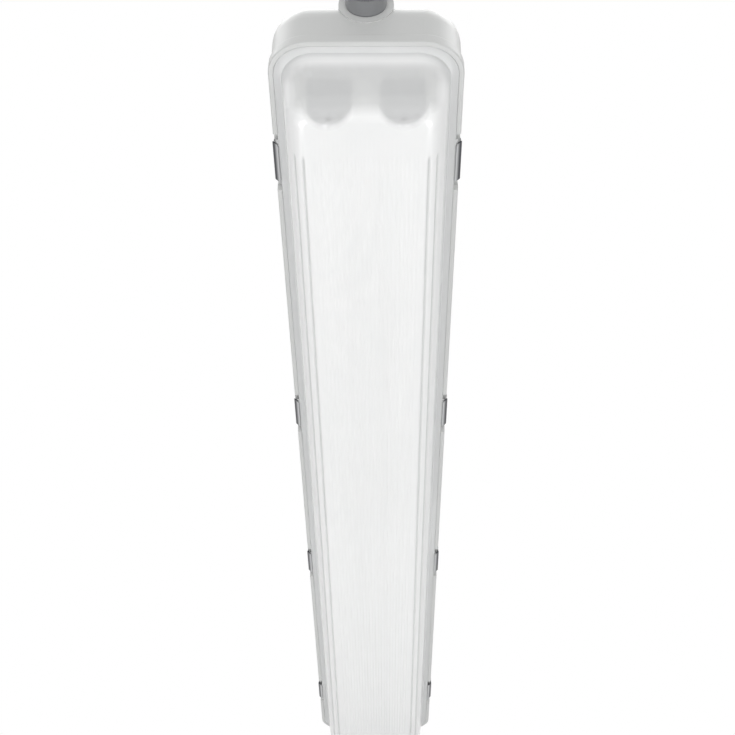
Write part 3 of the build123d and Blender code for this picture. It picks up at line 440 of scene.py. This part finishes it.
def face_grid(columns, arc_steps, level, flutes):
    """Grid over the flat face, row by row along Y, whose border is the last ring.

    The flutes are a cosine of X, eased to nothing at the border and at the ends of the ribs."""
    turn = np.linspace(0, math.pi / 2, arc_steps + 1)[1:]
    along = length_marks() * CORE[1]
    corner_x = CORE[0] + FACE_R * np.cos(turn)
    corner_y = CORE[1] + FACE_R * np.sin(turn)
    rows_y = np.concatenate([-corner_y[::-1], along, corner_y])
    half_x = np.concatenate([corner_x[::-1], np.full(len(along), CORE[0] + FACE_R), corner_x])
    x = half_x[:, None] * np.linspace(-1, 1, columns)
    y = np.broadcast_to(rows_y[:, None], x.shape)
    wave = FLUTE_DEPTH * (np.cos(2 * math.pi * x / FLUTE_PITCH) - 1) * flutes
    border = np.clip((half_x[:, None] - np.abs(x)) / FLUTE_PITCH, 0, 1)
    z = level - wave * rib_window(y) * border
    return np.stack([x, y, z, 0 * z], axis=-1)


def lens_skin(columns, arc_steps, rings, level, flutes, flip):
    """Rings joined in turn, then the face grid, as points and quads."""
    wall_points = np.concatenate(rings)
    count = len(rings[0])
    face = face_grid(columns, arc_steps, level, flutes)
    rows = face.shape[0]
    points = np.concatenate([wall_points, face.reshape(-1, 4)])
    wall_quads = grid_quads(len(rings), count, wrap=True)
    face_quads = grid_quads(rows, columns, len(wall_points))[:, ::-1]
    quads = [wall_quads, face_quads]
    if flip:
        quads = [block[:, ::-1] for block in quads]
    return points, quads


COLUMNS, ARC_STEPS = 214, 8
OUTER_STEPS, INNER_STEPS = 80, 12
path = outline(COLUMNS, ARC_STEPS)
outer_points, outer_quads = lens_skin(
    COLUMNS, ARC_STEPS, flange_rings(path) + tub_rings(path, 0.0, OUTER_STEPS, 1.0),
    LENS_BOTTOM, flutes=1.0, flip=False)
inner_top = ring(path, CORE, WALL_CORNER_R - WALL_T, FLANGE_TOP)
inner_points, inner_quads = lens_skin(
    COLUMNS, ARC_STEPS, [inner_top] + tub_rings(path, WALL_T, INNER_STEPS, 0.0),
    LENS_BOTTOM + WALL_T, flutes=0.0, flip=True)
lens_points = np.concatenate([outer_points, inner_points])
lens_faces = outer_quads + [block + len(outer_points) for block in inner_quads]
lens = new_piece("opal_lens", lens_points[:, :3] * MM, lens_faces, opal_polycarbonate,
                 shade=lens_points[:, 3])
print("lens:", len(lens.data.vertices), "points", len(lens.data.polygons), "faces")
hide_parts("diffuser")
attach(lens, "lens")

# %% [markdown]
# ## The latches
# Each latch is one strip of stainless: curled round its pin at the top, narrow down to a shoulder,
# then a wide plate with a lip bent inwards under the lens. A sheet like this is a line through its
# thickness, carried across a width that changes along the line, with a skin half a thickness each way.

# %% Latch strip
PIVOT_X, PIVOT_Z = 77.77, -56.0
SHEET_T = 1.2
CURL_R = 1.93
PLATE_X = PIVOT_X + CURL_R
LIP_TIP = np.array([75.25, -72.1])
BEND_R = 1.6
TONGUE_HALF, PLATE_HALF = 8.0, 22.0
SHOULDER_Z, SHOULDER_R = -65.5, 2.0
CURL_DEGREES, LIP_DEGREES = 285, 45
STRIP_COLUMNS = 25


def strip_line():
    """Middle line of the strip: curl about the pin, straight down, an arc of 45 degrees, the lip."""
    curl = np.radians(np.linspace(CURL_DEGREES, 0, 40))
    turn = np.column_stack([PIVOT_X + CURL_R * np.cos(curl), PIVOT_Z + CURL_R * np.sin(curl)])
    tangent_length = BEND_R * math.tan(math.radians(LIP_DEGREES / 2))
    bend_z = LIP_TIP[1] + (PLATE_X - LIP_TIP[0]) + tangent_length
    drop = np.linspace(PIVOT_Z, bend_z, 40)[1:]
    down = np.column_stack([np.full(len(drop), PLATE_X), drop])
    arc = np.radians(np.linspace(0, LIP_DEGREES, 9)[1:])
    bend = np.column_stack([
        PLATE_X - BEND_R * (1 - np.cos(arc)), bend_z - BEND_R * np.sin(arc)])
    lip = np.linspace(0, 1, 8)[1:, None]
    return np.concatenate([turn, down, bend, bend[-1] + lip * (LIP_TIP - bend[-1])])


def strip_half_width(line):
    """Half width along the line: tongue, a rounded shoulder, plate, then rounded lip corners."""
    below = np.clip((SHOULDER_Z - line[:, 1]) / SHOULDER_R, 0, 1)
    width = TONGUE_HALF + (PLATE_HALF - TONGUE_HALF) * np.sqrt(1 - (1 - below) ** 2)
    step = np.linalg.norm(np.diff(line, axis=0), axis=1)
    left = np.concatenate([np.cumsum(step[::-1])[::-1], [0.0]])
    near_tip = np.clip(1 - left / SHOULDER_R, 0, 1)
    return width - SHOULDER_R * (1 - np.sqrt(1 - near_tip ** 2))


def latch_strip(side, station, name):
    """Two skins half a sheet each side of the line, joined round all four edges."""
    line = strip_line()
    tangent = np.gradient(line, axis=0)
    tangent /= np.linalg.norm(tangent, axis=1, keepdims=True)
    normal = np.column_stack([-tangent[:, 1], tangent[:, 0]])
    across = np.linspace(-1, 1, STRIP_COLUMNS)
    half = strip_half_width(line)
    loop_share = np.concatenate([across, across[::-1]])
    loop_side = np.repeat([-1.0, 1.0], STRIP_COLUMNS) * SHEET_T / 2
    x = line[:, 0, None] + normal[:, 0, None] * loop_side
    z = line[:, 1, None] + normal[:, 1, None] * loop_side
    y = station + half[:, None] * loop_share
    points = np.stack([side * x, y, z], axis=-1)
    rows, columns = x.shape
    quads = grid_quads(rows, columns, wrap=True)
    front = np.arange(STRIP_COLUMNS)
    back = np.arange(columns)[::-1][:STRIP_COLUMNS]
    top_end = np.stack([front[:-1], front[1:], back[1:], back[:-1]], axis=1)
    tip_end = top_end[:, ::-1] + (rows - 1) * columns
    blocks = [quads[:, ::-1], top_end, tip_end]
    if side < 0:
        blocks = [block[:, ::-1] for block in blocks]
    return new_piece(name, points.reshape(-1, 3) * MM, blocks, latch_stainless, smooth_angle=40)


for side_name, side in (("left", -1), ("right", 1)):
    for number, station in enumerate(STATIONS, start=1):
        strip = latch_strip(side, station, f"strip_{side_name}_{number}")
        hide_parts(f"latch_{side_name}_{number}")
        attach(strip, f"swing_{side_name}_{number}")
print("latches: 8 strips of", len(strip.data.polygons), "faces")

# %% [markdown]
# ## Finishes on the CAD pieces
# Everything else keeps its CAD shape, which is already right, and only takes a finish.

# %% Dress the nodes
FINISH = {
    "housing": housing_polyester,
    "gasket": gasket_silicone,
    "gear_tray": tray_enamel,
    "ballast_case": tray_enamel,
    "ballast_core": potting_resin,
    "live_lead": potting_resin,
    "neutral_lead": block_polyamide,
    "earth_lead": earth_pvc,
    "lamp_leads": lamp_pvc,
    "ballast_terminals": block_polyamide,
    "terminal_block": block_polyamide,
    "terminal_clamp_screws": contact_brass,
    "lampholder_contacts": contact_brass,
    "earth": contact_brass,
    "lamp_pins": contact_brass,
    "lampholder": holder_pbt,
    "lamp_rotors": holder_pbt,
    "lamp_tube": lamp_phosphor,
    "lamp_caps": cap_aluminium,
    "gland_washer": seal_rubber,
    "gland_seal": seal_rubber,
    "blind_plug_washer": seal_rubber,
    "gland": gland_nylon,
    "blind_plug": gland_nylon,
    "latch_pins": latch_stainless,
    "ceiling_bracket": bracket_stainless,
    "tray_screws": screw_zinc,
    "ballast_screws": screw_zinc,
    "terminal_fixing_screws": screw_zinc,
}
replaced = {"diffuser"} | {name for name in nodes if name.startswith(("latch_left", "latch_right"))}
for name, node in nodes.items():
    if name not in replaced:
        stem = max((key for key in FINISH if name.startswith(key)), key=len)
        node.data.materials.clear()
        node.data.materials.append(FINISH[stem])
print("dressed", len(nodes) - len(replaced), "nodes")

# %% [markdown]
# ## Studio
# The photo looks up at the light from below its near end, against plain white. The world is white to
# the camera and softer to the object. Large lamps stand to the left and right of the camera and are not
# mirrored in the lens. Small lamps below only make the two bright glints on the near corners of the
# lens, and lamps above and behind whiten the rounded back. The floor glows a little to the camera alone,
# so that it stays as white as the world.

# %% Light, floor and camera
world = bpy.data.worlds.new("studio")
bpy.context.scene.world = world
world.use_nodes = True
background = world.node_tree.nodes["Background"]
WORLD_SOFT, WORLD_SEEN = 0.48, 1.0
rays = add(world, "ShaderNodeLightPath").outputs
seen = reckon(world, "MAXIMUM", rays["Is Camera Ray"], rays["Is Glossy Ray"])
seen = reckon(world, "MAXIMUM", seen, rays["Is Transmission Ray"])
feed(world, background, {
    "Color": (1, 1, 1, 1), "Strength": ramp(world, seen, first=WORLD_SOFT, last=WORLD_SEEN)})

bpy.context.scene.view_settings.view_transform = "Standard"


def soft_lamp(name, place, aim, size, watts, mirrored=True, spread=True):
    """Square area lamp at a place, turned to face a point; the camera does not see it.

    Mirrored lamps show in glossy surfaces; spread lamps light matt ones."""
    lamp = bpy.data.lights.new(name, "AREA")
    lamp.size = size
    lamp.energy = watts
    holder = bpy.data.objects.new(name, lamp)
    holder.location = place
    holder.rotation_euler = (Vector(aim) - Vector(place)).to_track_quat("-Z", "Y").to_euler()
    holder.visible_camera = False
    holder.visible_glossy = mirrored
    holder.visible_diffuse = spread
    bpy.context.scene.collection.objects.link(holder)
    return holder


for side in (-1, 1):
    soft_lamp(f"front_lamp_{side}", (0.7 * side, -2.2, -1.5), (0, -0.5, -0.06),
              size=1.6, watts=16, mirrored=False)
    soft_lamp(f"low_lamp_{side}", (0.85 * side, 0.39, -1.63), (0, -0.2, -0.1),
              size=0.36, watts=6, mirrored=False)
    soft_lamp(f"glint_lamp_{side}", (0.85 * side, 0.34, -1.63), (0, -0.6, -0.1),
              size=0.38, watts=15.5, spread=False)
    soft_lamp(f"back_lamp_{side}", (0.9 * side, -0.5, 1.5), (0, -0.5, -0.04), size=1.0, watts=11)
soft_lamp("top_lamp", (0, -0.4, 1.6), (0, -0.5, 0), size=1.2, watts=9)

FLOOR_Z, FLOOR_HALF = -3.2, 12.0
FIBRE_MM, FLOOR_GLOW = 25.0, 0.28
floor_paper, shader, place = new_material("floor_paper")
fibre = noise(floor_paper, place, FIBRE_MM, 2.0)
to_camera = add(floor_paper, "ShaderNodeLightPath").outputs["Is Camera Ray"]
feed(floor_paper, shader, {
    "Base Color": blend(floor_paper, fibre, linear("#EDEDED"), linear("#F2F2F2")),
    "Roughness": 0.8,
    "Emission Color": (1, 1, 1, 1),
    "Emission Strength": ramp(floor_paper, to_camera, last=FLOOR_GLOW)})
floor_corners = np.array([[-1, -1], [1, -1], [1, 1], [-1, 1]]) * FLOOR_HALF
floor_points = np.column_stack([floor_corners, np.full(4, FLOOR_Z)])
floor = new_piece("floor", floor_points, [np.array([[0, 1, 2, 3]])], floor_paper)

# Fitted to the photo's outline, then set one by one: place in mm, degrees, focal length in pixels
CAMERA = np.array([15.5, -1395.2, -962.9]) * MM
PITCH, YAW, ROLL = np.radians([37.592, -0.906, 0.525])
FOCAL_PIXELS, FRAME_PIXELS = 1442.0, 735.0
level_right = np.array([math.cos(YAW), -math.sin(YAW), 0.0])
level_ahead = np.array([math.sin(YAW), math.cos(YAW), 0.0])
ahead = level_ahead * math.cos(PITCH) + np.array([0, 0, math.sin(PITCH)])
upright = np.cross(level_right, ahead)
right = level_right * math.cos(ROLL) + upright * math.sin(ROLL)
up = upright * math.cos(ROLL) - level_right * math.sin(ROLL)
lens_data = bpy.data.cameras.new("camera")
lens_data.sensor_width = 36.0
lens_data.lens = FOCAL_PIXELS / FRAME_PIXELS * lens_data.sensor_width
camera = bpy.data.objects.new("camera", lens_data)
turned = np.eye(4)
turned[:3, :3] = np.column_stack([right, up, -ahead])
turned[:3, 3] = CAMERA
camera.matrix_world = Matrix(turned.tolist())
bpy.context.scene.collection.objects.link(camera)
bpy.context.scene.camera = camera
print("camera focal length", round(lens_data.lens, 2), "mm")
